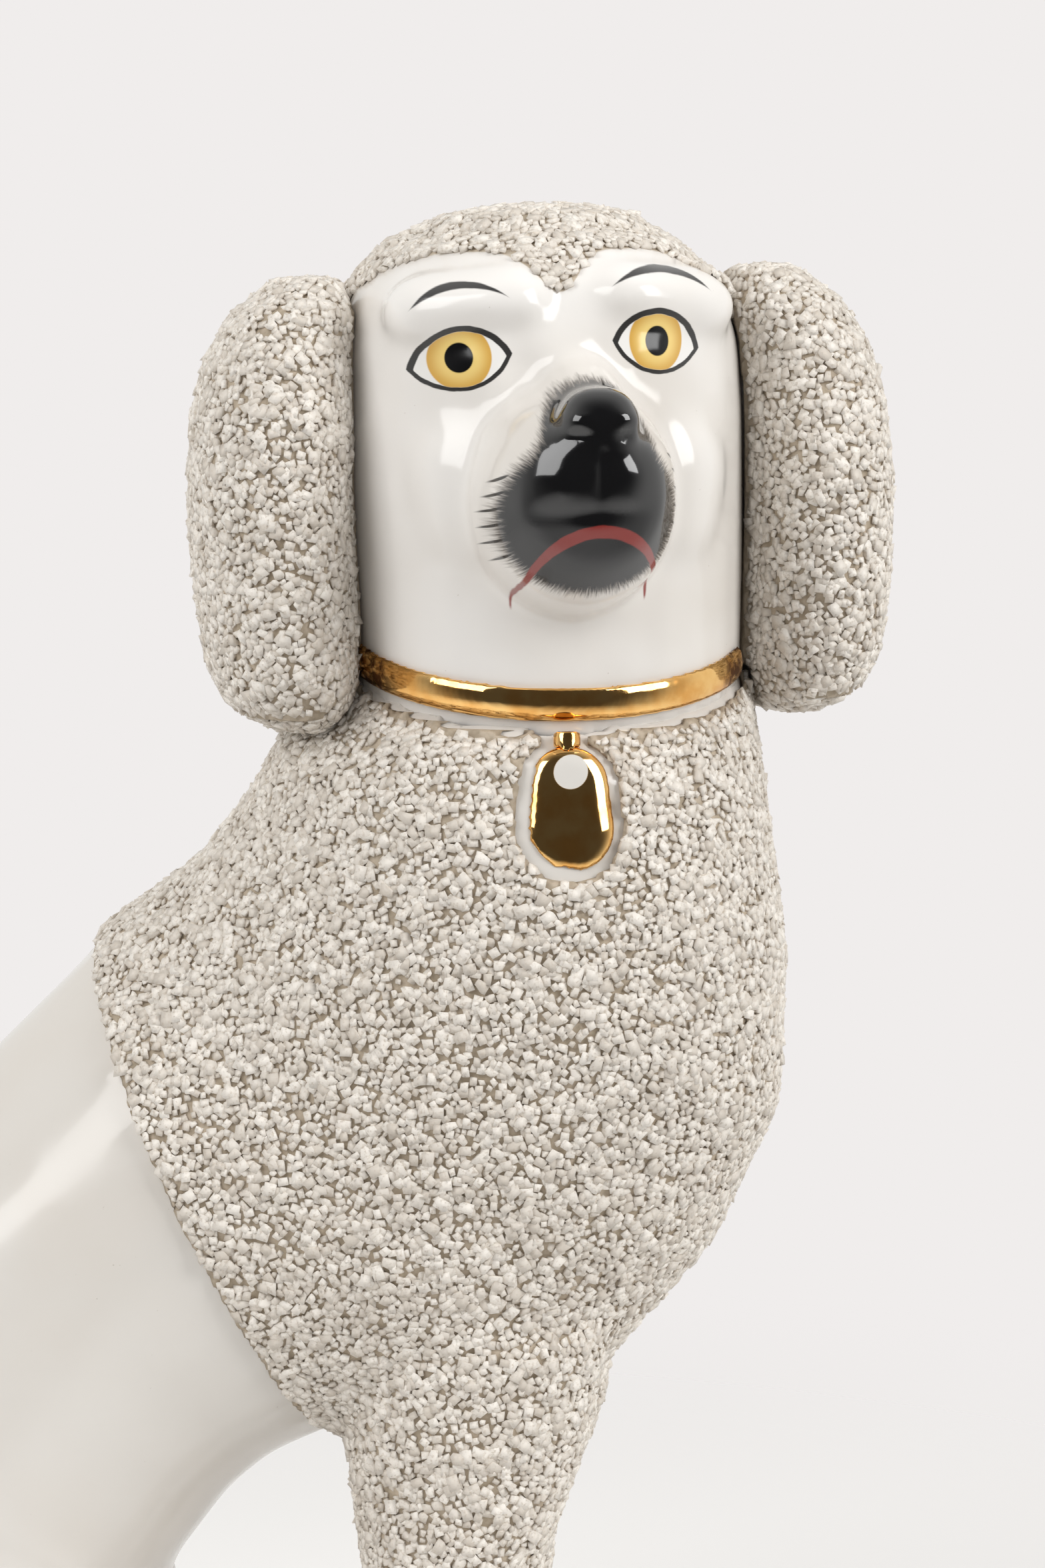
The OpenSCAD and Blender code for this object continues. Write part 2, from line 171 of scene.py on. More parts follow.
def glaze_surface(tree, shader, place):
    """Glassy coat with the faint unevenness that a dipped glaze dries to."""
    ripple = add(tree, "TexNoise", {"Vector": place, "Scale": 55.0, "Detail": 1.5})
    bump = add(tree, "Bump", {"Height": ripple.outputs[0], "Strength": 0.16, "Distance": 0.0012})
    tree.links.new(bump.outputs[0], shader.inputs["Normal"])
    tree.links.new(bump.outputs[0], shader.inputs["Coat Normal"])
    worn = add(tree, "TexNoise", {"Vector": place, "Scale": 40.0, "Detail": 4.0})
    rough = add(tree, "MapRange", {0: worn.outputs[0], 1: 0.3, 2: 0.7, 3: 0.1, 4: 0.17})
    tree.links.new(rough.outputs[0], shader.inputs["Roughness"])
    shader.inputs["IOR"].default_value = 1.48
    shader.inputs["Coat Weight"].default_value = 0.1
    shader.inputs["Coat Roughness"].default_value = 0.03


white_glaze, tree, shader = new_finish("white glaze")
place = add(tree, "TexCoord").outputs["Object"]
tree.links.new(glaze_colour(tree, place), shader.inputs["Base Color"])
glaze_surface(tree, shader, place)


def glazed(piece, node):
    """A piece in the plain white glaze, in place of its CAD node."""
    piece.data.materials.append(white_glaze)
    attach(piece, "root")
    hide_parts(node)


def off_mantle(points):
    """0 under the mantle and at the seam, where the trunk stays as cast, and 1 away from them."""
    bare = np.clip(distances(points, ["mantle_grit"]) / (6 * MM) - 0.3, 0, 1)
    return bare * np.clip((SEAM - above_collar(points)) / SEAM_BAND - 0.2, 0, 1)


glazed(clay_from("trunk", ["body_shell"], 1.8 * MM, 40, off_mantle), "body_shell")

# ---------------------------------------------------------------------------------------
# Slab. The same clay, left bare, luted into the foot of the trunk and level with it. The
# hole behind its middle lets the kiln's gases out.
# ---------------------------------------------------------------------------------------
bare_clay, tree, shader = new_finish("bare clay")
place = add(tree, "TexCoord").outputs["Object"]
grog = add(tree, "TexNoise", {"Vector": place, "Scale": 700.0, "Detail": 4.0})
stain = add(tree, "TexNoise", {"Vector": place, "Scale": 30.0, "Detail": 3.0})
body = over(tree, rise(tree, stain.outputs[0], 0.35, 0.75), colour(226, 214, 194), colour(205, 189, 164))
tree.links.new(over(tree, rise(tree, grog.outputs[0], 0.62, 0.72), body, colour(160, 142, 118)),
               shader.inputs["Base Color"])
bump = add(tree, "Bump", {"Height": grog.outputs[0], "Strength": 0.5, "Distance": 0.0004})
tree.links.new(bump.outputs[0], shader.inputs["Normal"])
shader.inputs["Roughness"].default_value = 0.85


def finish_solid(node, finish):
    """The frame's own solid of a node stays in view, in a finish."""
    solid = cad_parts[node]
    solid.data.materials.clear()
    solid.data.materials.append(finish)


finish_solid("base_slab", bare_clay)

# ---------------------------------------------------------------------------------------
# Head. Cast hollow in its own mould and luted to the neck, then dipped like the trunk. The
# eyes, brows, muzzle and mouth are painted on the glaze with a soft brush.
# ---------------------------------------------------------------------------------------
turn, lean = math.radians(17), math.radians(1.5)
right = Vector((math.cos(lean) * math.cos(turn), math.cos(lean) * math.sin(turn), math.sin(lean)))
back = Vector((-math.sin(turn), math.cos(turn), 0.0))
up = right.cross(back)


def head_places(points):
    """Points as right, back and up from the middle of the collar, in millimetres."""
    return (points - np.array(neck)) @ np.array([right, back, up]).T / MM


def set_points(piece, points):
    """The corners of a piece's mesh moved to new places."""
    piece.data.vertices.foreach_set("co", points.ravel())
    piece.data.update()


def thumb(piece, at, size, push):
    """The clay round a place is pushed, less and less with distance, all in millimetres."""
    points = get_points(piece)
    away = (head_places(points) - np.array(at)) / np.array(size)
    amount = np.exp(-(away ** 2).sum(axis=1))[:, None]
    set_points(piece, points + amount * (np.array(push) @ np.array([right, back, up])) * MM)


def off_seam(points):
    """0 near the head's lower rim, and 1 a little over it."""
    return np.clip((above_collar(points) - SEAM) / SEAM_BAND - 0.2, 0, 1)


def off_muzzle(points):
    """0 on the muzzle and the collar's seam, and 1 on the rest of the head."""
    across, depth, height = head_places(points).T
    muzzle = np.exp(-((across + 2) / 19) ** 4 - ((height - 33) / 23) ** 4) * (depth < -30)
    return (1 - muzzle) * off_seam(points)


head = clay_from("head", ["head_shell"], 0.9 * MM, 8, off_seam)
rub(head, 60, off_muzzle(get_points(head)))
# The nose grows out of the bridge and the lips, so the hollows round it are filled.
thumb(head, (-2, -62, 38), (9, 9, 6), (0, -3.0, 0))
rub(head, 26, 1 - off_muzzle(get_points(head)))
# Lips and nostrils either side of the groove under the nose, a crease under the lips,
# eyeballs, hollows between them and the bridge, and brow ridges with a dip between.
for side in (-1, 1):
    thumb(head, (-2 + side * 8.5, -58, 37), (6, 12, 7), (side * 0.8, -1.6, 0))
    thumb(head, (-1.0 + side * 4.6, -66, 45.2), (2.2, 8, 1.3), (0, 1.2, 0))
    thumb(head, (-1.0 + side * 4.8, -66, 48.0), (3.0, 8, 2.0), (side * 0.5, -0.9, 0.3))
thumb(head, (-1.0, -66, 38.0), (1.3, 9, 5), (0, 0.9, 0))
thumb(head, (-2, -60, 30), (9, 12, 1.6), (0, 0.8, 0))
for at in ((-23.1, -38, 60.4), (16.8, -41, 62.6)):
    thumb(head, at, (7.5, 12, 5.5), (0, -1.1, 0))
for at in ((-11, -40, 58), (5, -42, 60)):
    thumb(head, at, (4.5, 12, 5), (0, 1.3, 0))
for at in ((-22, -36, 72), (17, -38, 74)):
    thumb(head, at, (10, 14, 4.5), (0, -1.0, 0))
thumb(head, (-2.5, -40, 72), (4, 12, 9), (0, 0.9, 0))
rub(head, 4, off_seam(get_points(head)))
# The lowest rim of the head is worked down over the neck, so that no gap shows at the seam.
RIM_TALL, RIM_DOWN, RIM_OUT = 2 * MM, 3.0, 0.4
points = get_points(head)
rim = np.clip(1 - (above_collar(points) - SEAM) / RIM_TALL, 0, 1)[:, None]
outwards = points - np.array(neck) - above_collar(points)[:, None] * neck_up
outwards /= np.linalg.norm(outwards, axis=1)[:, None]
set_points(head, points - rim * (neck_up * RIM_DOWN - outwards * RIM_OUT) * MM)

face_paint, tree, shader = new_finish("painted face")
place = add(tree, "TexCoord").outputs["Object"]
from_neck = add(tree, "VectorMath", {0: place, 1: tuple(neck)}, operation="SUBTRACT").outputs[0]


def along(direction):
    """The shaded place measured along a direction from the neck, in millimetres."""
    return add(tree, "VectorMath", {0: from_neck, 1: tuple(Vector(direction) / MM)},
               operation="DOT_PRODUCT").outputs["Value"]


across, depth, height = along(right), along(back), along(up)
front = rise(tree, calc(tree, "MULTIPLY", depth, -1.0), 10.0, 16.0)
wander = add(tree, "TexNoise", {"Vector": place, "Scale": 260.0, "Detail": 2.0}).outputs[0]
wander = calc(tree, "MULTIPLY", calc(tree, "SUBTRACT", wander, 0.5), 0.5)


def turned(at, degrees):
    """Coordinates round a place on the face, in millimetres, turned by an angle."""
    x, y = calc(tree, "SUBTRACT", across, at[0]), calc(tree, "SUBTRACT", height, at[1])
    c, s = math.cos(math.radians(degrees)), math.sin(math.radians(degrees))
    return (calc(tree, "ADD", calc(tree, "MULTIPLY", x, c), calc(tree, "MULTIPLY", y, s)),
            calc(tree, "SUBTRACT", calc(tree, "MULTIPLY", y, c), calc(tree, "MULTIPLY", x, s)))


def inside_arc(x, y, half_width, bow):
    """How far a place is inside the round whose rim passes both corners and bows between."""
    radius = (half_width ** 2 + bow ** 2) / (2 * abs(bow))
    centre = bow - math.copysign(radius, bow)
    from_centre = calc(tree, "SQRT", calc(tree, "ADD", calc(tree, "MULTIPLY", x, x), calc(
        tree, "POWER", calc(tree, "SUBTRACT", y, centre), 2.0)))
    return calc(tree, "SUBTRACT", radius, from_centre)


def oval(x, y, half_width, half_height):
    """1 on the rim of an oval, less inside."""
    x = calc(tree, "POWER", calc(tree, "DIVIDE", x, half_width), 2.0)
    y = calc(tree, "POWER", calc(tree, "DIVIDE", y, half_height), 2.0)
    return calc(tree, "SQRT", calc(tree, "ADD", x, y))


def lay(paint, amount, strength=1.0):
    """A stroke of paint on the front of the head, over what is there already."""
    global skin
    amount = calc(tree, "MULTIPLY", calc(tree, "MULTIPLY", amount, front), strength)
    skin = over(tree, amount, skin, paint)


# Painted light: the face gets a lighter copy of the trunk's white glaze, standing in for the brighter light
# on the face.
skin = glaze_colour(tree, place, colour(237, 234, 230))
BLACK, LINE = colour(12, 12, 14), colour(20, 19, 20)

# Eyes: a white almond with an ochre iris that touches both lids, and a black outline.
for at, tilt, half_width, up_bow, low_bow, iris, pupil in (
        ((-22.8, 59.8), 8.4, 9.9, 7.2, 6.0, (-23.1, 60.6), (-23.3, 60.6)),
        ((17.0, 62.2), -6.0, 9.9, 7.3, 6.0, (16.7, 63.0), (16.8, 62.9))):
    x, y = turned(at, tilt)
    upper = calc(tree, "ADD", inside_arc(x, y, half_width, up_bow), wander)
    lower = calc(tree, "ADD", inside_arc(x, y, half_width, -low_bow), wander)
    lids = rise(tree, calc(tree, "MINIMUM", upper, lower), -0.1, 0.15)
    white = calc(tree, "MULTIPLY", rise(tree, upper, 1.15, 1.4), rise(tree, lower, 0.8, 1.0))
    x, y = turned(iris, 0)
    ring = oval(x, y, 6.0, 6.5)
    x, y = turned(pupil, 0)
    middle = oval(x, y, 2.6, 3.0)
    ochre = over(tree, rise(tree, ring, 0.5, 1.0), colour(236, 206, 128), colour(212, 166, 82))
    lay(LINE, lids, 0.96)
    lay(colour(236, 234, 230), white)
    lay(ochre, calc(tree, "MULTIPLY", white, rise(tree, ring, 1.02, 0.97)))
    lay(BLACK, calc(tree, "MULTIPLY", white, rise(tree, middle, 1.06, 0.96)))

# Brows: one tapered stroke over each eye.
for at, tilt, half_width, top_bow, low_bow in (
        ((-23.4, 71.2), 8.0, 9.6, 4.7, 3.0), ((18.6, 73.2), -4.0, 11.1, 5.1, 3.3)):
    x, y = turned(at, tilt)
    stroke = calc(tree, "MINIMUM", inside_arc(x, y, half_width, top_bow),
                  calc(tree, "MULTIPLY", inside_arc(x, y, half_width, low_bow), -1.0))
    lay(LINE, rise(tree, calc(tree, "ADD", stroke, calc(tree, "MULTIPLY", wander, 0.6)), -0.1, 0.25), 0.95)

# Muzzle: black laid on thick, drawn out at its edge by the hairs of the brush.
x, y = turned((-2.3, 29.6), 0)
low_part = oval(x, y, 18.6, 16.2)
swept = calc(tree, "ARCTAN2", y, x)
x, y = turned((-0.9, 43.2), 0)
top_part = oval(x, y, 11.2, 13.3)
muzzle_field = calc(tree, "SMOOTH_MIN", low_part, top_part, 0.45)
hairs = add(tree, "CombineXYZ", {0: calc(tree, "MULTIPLY", swept, 20.0),
                                 1: calc(tree, "MULTIPLY", muzzle_field, 3.0)}).outputs[0]
hairs = add(tree, "TexNoise", {"Vector": hairs, "Scale": 2.4, "Detail": 3.0}).outputs[0]
edge = calc(tree, "ADD", calc(tree, "SUBTRACT", 1.0, muzzle_field),
            calc(tree, "MULTIPLY", calc(tree, "SUBTRACT", hairs, 0.5), 0.2))
lay(colour(92, 82, 74), rise(tree, edge, -0.06, 0.06), 0.7)
lay(BLACK, rise(tree, edge, 0.0, 0.1))

# Whisker ticks: short thin strokes flicked off both sides of the muzzle.
for at, tilt, length in (
        ((-19.6, 37.0), 30, 1.8), ((-20.2, 33.9), 26, 1.9), ((-20.6, 30.8), 24, 2.1),
        ((-20.5, 27.6), 26, 1.9), ((-19.9, 24.4), 30, 2.0), ((-18.4, 21.2), 38, 1.8),
        ((15.5, 40.0), -40, 1.8), ((16.6, 37.0), -34, 1.9), ((17.1, 33.6), -28, 2.0),
        ((16.9, 30.2), -24, 1.9), ((16.2, 26.8), -30, 1.8)):
    x, y = turned(at, tilt)
    lay(LINE, rise(tree, oval(x, y, length, 0.32), 1.15, 0.6), 0.9)

# Mouth: a brick-red crescent round the chin, thick in the middle.
x, y = turned((-1.0, 11.2), 2)
crescent = calc(tree, "MINIMUM", inside_arc(x, y, 14.2, 16.6),
                calc(tree, "MULTIPLY", inside_arc(x, y, 13.4, 13.6), -1.0))
crescent = calc(tree, "MULTIPLY", rise(tree, calc(tree, "ADD", crescent, wander), 0.0, 0.4),
                rise(tree, y, -1.2, 0.2))
lay(colour(138, 50, 44), crescent, 0.94)

# Over the forehead the slip for the chips is brushed on freehand, with a peak in the middle.
# Its line is highest either side of the peak, and falls again toward the temples.
HAIR_TOP, PEAK, PEAK_AT, PEAK_WIDE = 81.5, 8.5, -2.6, 6.0
TEMPLE_FROM, TEMPLE_FALL, TEMPLE_BEND = 17.0, 0.012, 2.2
x, y = turned((PEAK_AT, HAIR_TOP), 0)
peak = calc(tree, "EXPONENT", calc(tree, "MULTIPLY", calc(tree, "POWER", calc(
    tree, "DIVIDE", x, PEAK_WIDE), 2.0), -1.0))
beyond = calc(tree, "MAXIMUM", calc(tree, "SUBTRACT", calc(tree, "ABSOLUTE", x), TEMPLE_FROM), 0.0)
sagging = calc(tree, "ADD", calc(tree, "MULTIPLY", peak, PEAK),
               calc(tree, "MULTIPLY", calc(tree, "POWER", beyond, TEMPLE_BEND), TEMPLE_FALL))
lay(colour(196, 183, 164), rise(tree, calc(tree, "ADD", calc(tree, "ADD", y, sagging), wander), -0.1, 0.4))

tree.links.new(skin, shader.inputs["Base Color"])
glaze_surface(tree, shader, place)
tree.links.new(calc(tree, "MULTIPLY", rise(tree, edge, 0.0, 0.1), 0.8), shader.inputs["Coat Weight"])
head.data.materials.append(face_paint)
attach(head, "root")
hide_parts("head_shell")

# ---------------------------------------------------------------------------------------
# Ears, forelegs, hind paws and tail. Solid clay pressed in small moulds and luted on. The
# ears are all under their coats, so the solids of the frame stay, in the same glaze.
# ---------------------------------------------------------------------------------------
for node in ("right_ear", "left_ear"):
    finish_solid(node, white_glaze)
for node in ("right_foreleg", "left_foreleg", "right_hind_paw", "left_hind_paw", "tail"):
    glazed(clay_from(node + "_clay", [node], 1.2 * MM, 6), node)

# ---------------------------------------------------------------------------------------
# Collar, locket and its stem. Low relief on the clay, gilded after the glaze firing with
# bright gold and burnished by hand. The gold is thin and mottled at the collar's ends.
# ---------------------------------------------------------------------------------------
gold, tree, shader = new_finish("bright gold")
place = add(tree, "TexCoord").outputs["Object"]
brushed = add(tree, "TexNoise", {"Vector": place, "Scale": 160.0, "Detail": 4.0})
tone = over(tree, rise(tree, brushed.outputs[0], 0.35, 0.7), colour(250, 204, 132), colour(234, 174, 96))
from_neck = add(tree, "VectorMath", {0: place, 1: tuple(neck)}, operation="SUBTRACT").outputs[0]
sideways = calc(tree, "ABSOLUTE", along((math.cos(collar_turn), math.sin(collar_turn), 0)))
flecks = add(tree, "TexNoise", {"Vector": place, "Scale": 420.0, "Detail": 4.0}).outputs[0]
thin = calc(tree, "MULTIPLY", rise(tree, sideways, 33.5, 36.5), rise(tree, flecks, 0.4, 0.56))
tree.links.new(over(tree, thin, tone, colour(112, 74, 42)), shader.inputs["Base Color"])
shader.inputs["Metallic"].default_value = 1.0
rough = add(tree, "MapRange", {0: brushed.outputs[0], 1: 0.35, 2: 0.75, 3: 0.05, 4: 0.14})
tree.links.new(calc(tree, "ADD", rough.outputs[0], calc(tree, "MULTIPLY", thin, 0.35)),
               shader.inputs["Roughness"])
ripple = add(tree, "TexNoise", {"Vector": place, "Scale": 120.0, "Detail": 2.0})
bump = add(tree, "Bump", {"Height": ripple.outputs[0], "Strength": 0.25, "Distance": 0.0008})
tree.links.new(bump.outputs[0], shader.inputs["Normal"])

# The locket has a round spot near its top where the white glaze was left bare.
locket_low, locket_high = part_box("locket")
locket_middle = (Vector(locket_low) + Vector(locket_high)) / 2
spotted_gold = gold.copy()
spotted_gold.name = "bright gold with a spot"
tree = spotted_gold.node_tree
shader = tree.nodes["Principled BSDF"]
place = add(tree, "TexCoord").outputs["Object"]
spot = locket_middle + Vector((0, 0, 0.3 * (locket_high[2] - locket_low[2])))
flat = add(tree, "VectorMath", {0: place, 1: tuple(-spot)}, operation="ADD").outputs[0]
flat = add(tree, "VectorMath", {0: flat, 1: (1, 0, 1)}, operation="MULTIPLY").outputs[0]
reach = add(tree, "VectorMath", {0: flat}, operation="LENGTH").outputs["Value"]
bare = rise(tree, reach, 3.5 * MM, 3.3 * MM)
was = shader.inputs["Base Color"].links[0].from_socket
tree.links.new(over(tree, bare, was, colour(214, 210, 204)), shader.inputs["Base Color"])
tree.links.new(calc(tree, "SUBTRACT", 1.0, bare), shader.inputs["Metallic"])

for name, node, rubs, finish in (
        ("collar", "collar_band", 8, gold), ("locket_boss", "locket", 22, spotted_gold),
        ("locket_stem", "locket_loop", 4, gold)):
    piece = clay_from(name, [node], 0.45 * MM, rubs)
    piece.data.materials.append(finish)
    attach(piece, "root")
    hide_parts(node)

# ---------------------------------------------------------------------------------------
# Coats. Thick slip brushed over the crown, ears, mantle, forelegs and tail, then rolled in
# crushed fired clay while wet. The chips lie bedded in it edge to edge, tipped every way.
# ---------------------------------------------------------------------------------------
rng = np.random.default_rng(7)
# A bed lies this far under the skin of its CAD coat, and no two chips lie nearer than this.
SINK, GAP = 1.1 * MM, 1.24 * MM
# A bed has chips where it is this far off the clay under it and off what stands beside it,
# and where it hasn't dipped further than this.
PROUD, CLEAR, DIPPED = 1.3 * MM, 0.9 * MM, 1.8 * MM
# Chips: the usual scale of a flake and its spread, the least and the most of it, how far a
# flake tips, and how low and how high over its bed it lies, in millimetres.
CHIP_SIZE, CHIP_SPREAD, CHIP_LEAST, CHIP_MOST = 1.12, 0.24, 0.7, 1.75
CHIP_TIP, CHIP_LOW, CHIP_HIGH = 0.17, 0.05, 0.42
# Places tried for each square of the gap, enough to fill the coat.
TRIES = 3.2

chip_clay, tree, shader = new_finish("crushed clay")
place = add(tree, "TexCoord").outputs["Object"]
tint = add(tree, "Attribute", attribute_name="tint").outputs["Fac"]
grain = add(tree, "TexNoise", {"Vector": place, "Scale": 1500.0, "Detail": 3.0})
pale = over(tree, tint, colour(208, 199, 187), colour(240, 234, 225))
tree.links.new(over(tree, rise(tree, grain.outputs[0], 0.5, 0.75), pale, colour(202, 191, 177)),
               shader.inputs["Base Color"])
bump = add(tree, "Bump", {"Height": grain.outputs[0], "Strength": 0.3, "Distance": 0.0002})
tree.links.new(bump.outputs[0], shader.inputs["Normal"])
shader.inputs["Roughness"].default_value = 0.5

slip, tree, shader = new_finish("clay slip")
place = add(tree, "TexCoord").outputs["Object"]
clots = add(tree, "TexNoise", {"Vector": place, "Scale": 500.0, "Detail": 4.0})
tone = over(tree, rise(tree, clots.outputs[0], 0.35, 0.7), colour(164, 150, 130), colour(190, 176, 157))
tree.links.new(tone, shader.inputs["Base Color"])
bump = add(tree, "Bump", {"Height": clots.outputs[0], "Strength": 0.6, "Distance": 0.0006})
tree.links.new(bump.outputs[0], shader.inputs["Normal"])
shader.inputs["Roughness"].default_value = 0.7


def model_chip():
    """One crushed flake: a block knocked out of true, with two of its corners broken off."""
    bpy.ops.object.select_all(action="DESELECT")
    bpy.ops.mesh.primitive_cube_add(size=1.5)
    flake = bpy.context.object
    bpy.ops.object.mode_set(mode="EDIT")
    bpy.ops.mesh.select_all(action="SELECT")
    bpy.ops.transform.resize(value=(1.15, 0.92, 0.66))
    bpy.ops.transform.vertex_random(offset=0.24, seed=int(rng.integers(1000)))
    for _ in range(2):
        cut = rng.normal(size=3)
        cut /= np.linalg.norm(cut)
        bpy.ops.mesh.select_all(action="SELECT")
        bpy.ops.mesh.bisect(plane_co=cut * (0.6, 0.5, 0.36), plane_no=cut, use_fill=True, clear_outer=True)
    bpy.ops.mesh.select_all(action="SELECT")
    bpy.ops.mesh.quads_convert_to_tris()
    bpy.ops.mesh.normals_make_consistent(inside=False)
    bpy.ops.object.mode_set(mode="OBJECT")
    points = get_points(flake)
    corners = np.array([list(face.vertices) for face in flake.data.polygons])
    bpy.data.meshes.remove(flake.data)
    return points - points.mean(axis=0), corners


flakes = [model_chip() for _ in range(12)]


def get_normals(piece):
    """The normals at the corners of a piece's mesh, one row each."""
    normals = np.empty(len(piece.data.vertices) * 3)
    piece.data.vertices.foreach_get("normal", normals)
    return normals.reshape(-1, 3)


def strew(piece, gap, wanted):
    """Places over a piece's faces, no two nearer than the gap, with the normals there."""
    mesh = piece.data
    mesh.calc_loop_triangles()
    corners = np.empty(len(mesh.loop_triangles) * 3, np.int32)
    mesh.loop_triangles.foreach_get("vertices", corners)
    corners = corners.reshape(-1, 3)
    points, normals = get_points(piece), get_normals(piece)
    a, b, c = (points[corners[:, k]] for k in range(3))
    area = np.linalg.norm(np.cross(b - a, c - a), axis=1) / 2
    area[~wanted[corners].all(axis=1)] = 0
    count = int(area.sum() / gap ** 2 * TRIES)
    pick = rng.choice(len(area), count, p=area / area.sum())
    r, s = rng.random(count), rng.random(count)
    r, s = np.where(r + s > 1, 1 - r, r), np.where(r + s > 1, 1 - s, s)
    weights = np.stack([1 - r - s, r, s], axis=1)[:, :, None]
    where = (points[corners[pick]] * weights).sum(axis=1)
    facing = (normals[corners[pick]] * weights).sum(axis=1)
    # A place is kept unless one already kept, in its cell or the next, is within the gap.
    taken, kept = {}, []
    cells = np.floor(where / gap).astype(int)
    for i in range(count):
        x, y, z = cells[i]
        here = where[i]
        near = (taken.get((x + p, y + q, z + t)) for p in (-1, 0, 1) for q in (-1, 0, 1) for t in (-1, 0, 1))
        if any(((spot[0] - here[0]) ** 2 + (spot[1] - here[1]) ** 2 + (spot[2] - here[2]) ** 2) < gap ** 2
               for group in near if group for spot in group):
            continue
        taken.setdefault((x, y, z), []).append(tuple(here))
        kept.append(i)
    return where[kept], facing[kept] / np.linalg.norm(facing[kept], axis=1)[:, None]


def bed_chips(name, node, where, facing):
    """One mesh of chips at the places, each turned, tipped, sized and tinted at random."""
    count = len(where)
    side = np.cross(facing, rng.normal(size=(count, 3)))
    side /= np.linalg.norm(side, axis=1)[:, None]
    tipped = facing + rng.normal(scale=CHIP_TIP, size=(count, 3))
    tipped /= np.linalg.norm(tipped, axis=1)[:, None]
    side -= tipped * (side * tipped).sum(axis=1)[:, None]
    side /= np.linalg.norm(side, axis=1)[:, None]
    axes = np.stack([side, np.cross(tipped, side), tipped], axis=1)
    size = rng.lognormal(math.log(CHIP_SIZE), CHIP_SPREAD, count)
    size = np.clip(size, CHIP_LEAST, CHIP_MOST) * MM
    raised = where + facing * (rng.uniform(CHIP_LOW, CHIP_HIGH, count) * MM)[:, None]
    kind = rng.integers(len(flakes), size=count)
    tints = rng.random(count) ** 0.8
    all_points, all_corners, all_tints, start = [], [], [], 0
    for k, (points, corners) in enumerate(flakes):
        chosen = np.flatnonzero(kind == k)
        placed = points[None] @ axes[chosen] * size[chosen, None, None] + raised[chosen, None]
        steps = np.arange(len(chosen)) * len(points) + start
        all_points.append(placed.reshape(-1, 3))
        all_corners.append((corners[None] + steps[:, None, None]).reshape(-1, 3))
        all_tints.append(np.repeat(tints[chosen], len(points)))
        start += len(chosen) * len(points)
    mesh = bpy.data.meshes.new(name)
    points, corners = np.concatenate(all_points), np.concatenate(all_corners)
    mesh.vertices.add(len(points))
    mesh.vertices.foreach_set("co", points.ravel())
    mesh.loops.add(corners.size)
    mesh.loops.foreach_set("vertex_index", corners.ravel())
    mesh.polygons.add(len(corners))
    mesh.polygons.foreach_set("loop_start", np.arange(0, corners.size, 3))
    mesh.update(calc_edges=True)
    tint = mesh.attributes.new("tint", "FLOAT", "POINT")
    tint.data.foreach_set("value", np.concatenate(all_tints))
    mesh.materials.append(chip_clay)
    piece = bpy.data.objects.new(name, mesh)
    bpy.context.scene.collection.objects.link(piece)
    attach(piece, "root")
    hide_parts(node)


def coat(name, nodes, backing, against, rubs=14, pieces=None, soft=None, thin=None):
    """The slip bed of a coat over its backing, and its chips in one or more pieces.

    pieces splits the chips, soft is where the bed is rubbed, and thin is how far it dips.
    """
    bed = clay_from(name + "_slip", nodes, 1.4 * MM, rubs, soft)
    points = get_points(bed)
    outer = (distances(points, backing) > PROUD) & (distances(points, against) > CLEAR)
    dip = thin(points) if thin else np.zeros((len(points), 3))
    set_points(bed, points - get_normals(bed) * SINK * outer[:, None] + dip)
    bed.data.materials.append(slip)
    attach(bed, "root")
    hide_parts(*nodes)
    where, facing = strew(bed, GAP, outer & (np.linalg.norm(dip, axis=1) < DIPPED))
    for piece, node, part in pieces(where) if pieces else [(name + "_chips", nodes[0], slice(None))]:
        bed_chips(piece, node, where[part], facing[part])


# Where the forelegs' chips end, and how many pieces the mantle's chips are in.
LEG_TOP, ROUNDS = 95 * MM, 4


def mantle_pieces(where):
    """The forelegs' chips apart from the mantle's, and the mantle's in rounds by height."""
    leg = where[:, 2] < LEG_TOP
    yield "right_leg_chips", "right_foreleg_grit", np.flatnonzero(leg & (where[:, 1] < 0))
    yield "left_leg_chips", "left_foreleg_grit", np.flatnonzero(leg & (where[:, 1] >= 0))
    mantle = np.flatnonzero(~leg)
    rounds = np.array_split(mantle[np.argsort(where[mantle, 2])], ROUNDS)
    for k, part in enumerate(rounds):
        yield f"mantle_chips_{k + 1}", "mantle_grit", part


def off_locket(points):
    """0 at the mantle's edges round the throat and the locket, and 1 away from them."""
    away = (points - np.array(locket_middle)) / (17 * MM, 30 * MM, 22 * MM)
    throat = np.clip((SEAM - above_collar(points)) / (7 * MM), 0, 1)
    return (1 - np.exp(-(away ** 4).sum(axis=1))) * throat


# Heights and depths on the head, in millimetres, of the coat's brim and of the forehead.
BRIM_TOP, BRIM_TALL, BRIM_BACK, BRIM_DIP = 90, 7, 8, 4.0
HEAD_MIDDLE = 60
FOREHEAD_TOP, FOREHEAD_BACK, FOREHEAD_SLIP = 88.5, 4, 0.2


def dip_brim(points):
    """The crown's coat dips under the glaze toward its edge over the forehead."""
    _, depth, height = head_places(points).T
    amount = np.clip((BRIM_TOP - height) / BRIM_TALL, 0, 1) * np.clip((BRIM_BACK - depth) / BRIM_BACK, 0, 1)
    inwards = np.array(neck + up * HEAD_MIDDLE * MM) - points
    return inwards / np.linalg.norm(inwards, axis=1)[:, None] * amount[:, None] * BRIM_DIP * MM


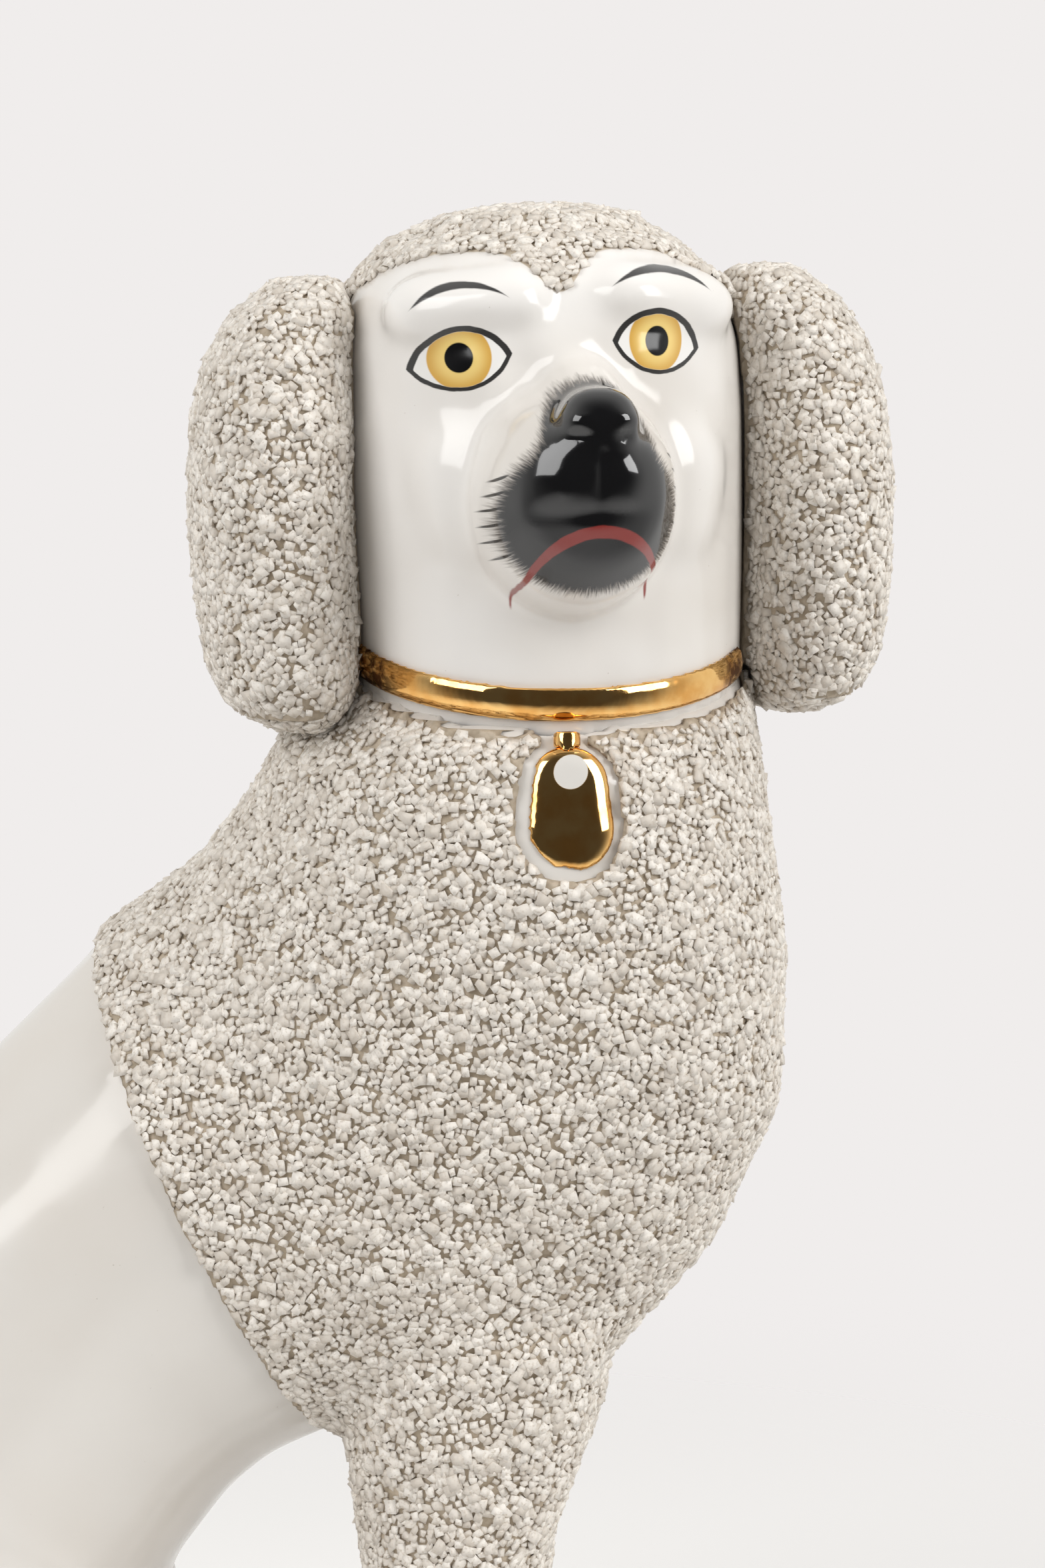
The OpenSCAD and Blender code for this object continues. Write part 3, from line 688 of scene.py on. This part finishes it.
def over_hairline(points):
    """Whether each point is on the forehead, above the brushed edge of its slip."""
    across, depth, height = head_places(points).T
    drop = (PEAK * np.exp(-((across - PEAK_AT) / PEAK_WIDE) ** 2)
            + TEMPLE_FALL * np.maximum(np.abs(across - PEAK_AT) - TEMPLE_FROM, 0) ** TEMPLE_BEND)
    return (height > HAIR_TOP - drop) & (height < FOREHEAD_TOP) & (depth < FOREHEAD_BACK)


coat("crown", ["head_grit"], ["head_shell"], ["right_ear", "left_ear"], thin=dip_brim)
# The forehead's chips lie on the head itself.
where, facing = strew(head, GAP, over_hairline(get_points(head)))
bed_chips("forehead_chips", "head_grit", where + facing * (FOREHEAD_SLIP * MM), facing)
coat("right_ear", ["right_ear_grit"], ["right_ear"], ["head_shell"])
coat("left_ear", ["left_ear_grit"], ["left_ear"], ["head_shell"])
coat("mantle", ["mantle_grit", "right_foreleg_grit", "left_foreleg_grit"],
     ["body_shell"], ["right_foreleg", "left_foreleg"], 30, mantle_pieces, off_locket)
coat("tail_tuft", ["tail_grit"], ["tail"], ["body_shell"])

# ---------------------------------------------------------------------------------------
# Studio. A pale floor that fades into pale air, two window-shaped lights and a dim side
# behind the camera for the glaze and the gold to mirror, and a broad light that they don't.
# ---------------------------------------------------------------------------------------
target = Vector((0.1267, 0.0, 0.2327))
swing, lift = math.radians(6), math.radians(6)
outward = Vector((math.sin(swing) * math.cos(lift), -math.cos(swing) * math.cos(lift), math.sin(lift)))
lens = bpy.data.cameras.new("camera")
lens.lens, lens.sensor_width = 108.7, 36
camera = bpy.data.objects.new("camera", lens)
bpy.context.scene.collection.objects.link(camera)
camera.location = target + outward      # a metre off
camera.rotation_mode = "QUATERNION"
camera.rotation_quaternion = (-outward).to_track_quat("-Z", "Y")
bpy.context.scene.camera = camera

bpy.context.scene.view_settings.view_transform = "Standard"

air = bpy.data.worlds.new("air")
bpy.context.scene.world = air
air.use_nodes = True
tree = air.node_tree
tree.nodes.clear()
direction = add(tree, "TexCoord").outputs["Generated"]
ahead = add(tree, "VectorMath", {0: direction, 1: tuple(-outward)}, operation="DOT_PRODUCT").outputs["Value"]
lit = rise(tree, ahead, -0.75, 0.1)
room = over(tree, lit, (0.07, 0.068, 0.065, 1), (0.85, 0.84, 0.82, 1))
seen = add(tree, "LightPath").outputs["Is Camera Ray"]
mix = over(tree, seen, room, colour(240, 237, 236))
surface = add(tree, "Background", {0: mix})
add(tree, "OutputWorld", {0: surface.outputs[0]})

bpy.ops.object.select_all(action="DESELECT")
bpy.ops.mesh.primitive_circle_add(vertices=64, radius=3.0, fill_type="NGON", location=(0.1, 0, 0))
floor = bpy.context.object
floor.name = "floor"
bpy.ops.object.transform_apply(location=True)
paper, tree, shader = new_finish("pale floor")
place = add(tree, "TexCoord").outputs["Object"]
reach = add(tree, "VectorMath", {0: place}, operation="LENGTH").outputs["Value"]
shader.inputs["Base Color"].default_value = (0.86, 0.85, 0.84, 1)
shader.inputs["Roughness"].default_value = 0.5
clear = add(tree, "BsdfTransparent")
fade = add(tree, "MixShader", {0: rise(tree, reach, 0.22, 0.6), 1: shader.outputs[0], 2: clear.outputs[0]})
tree.links.new(fade.outputs[0], tree.nodes["Material Output"].inputs[0])
floor.data.materials.append(paper)

for name, side, rise_by, far, wide, tall, power in (
        ("left window", -48, 32, 1.3, 0.65, 1.0, 9), ("right window", 58, 28, 1.3, 0.6, 1.0, 12),
        ("room", -4, 10, 2.6, 2.4, 2.0, 14)):
    light = bpy.data.lights.new(name, "AREA")
    light.shape, light.size, light.size_y, light.energy = "RECTANGLE", wide, tall, power
    lamp = bpy.data.objects.new(name, light)
    bpy.context.scene.collection.objects.link(lamp)
    a, e = swing + math.radians(side), math.radians(rise_by)
    away = Vector((math.sin(a) * math.cos(e), -math.cos(a) * math.cos(e), math.sin(e)))
    lamp.location = target + away * far
    lamp.rotation_mode = "QUATERNION"
    lamp.rotation_quaternion = (-away).to_track_quat("-Z", "Y")
    lamp.visible_camera = False
    lamp.visible_glossy = name != "room"
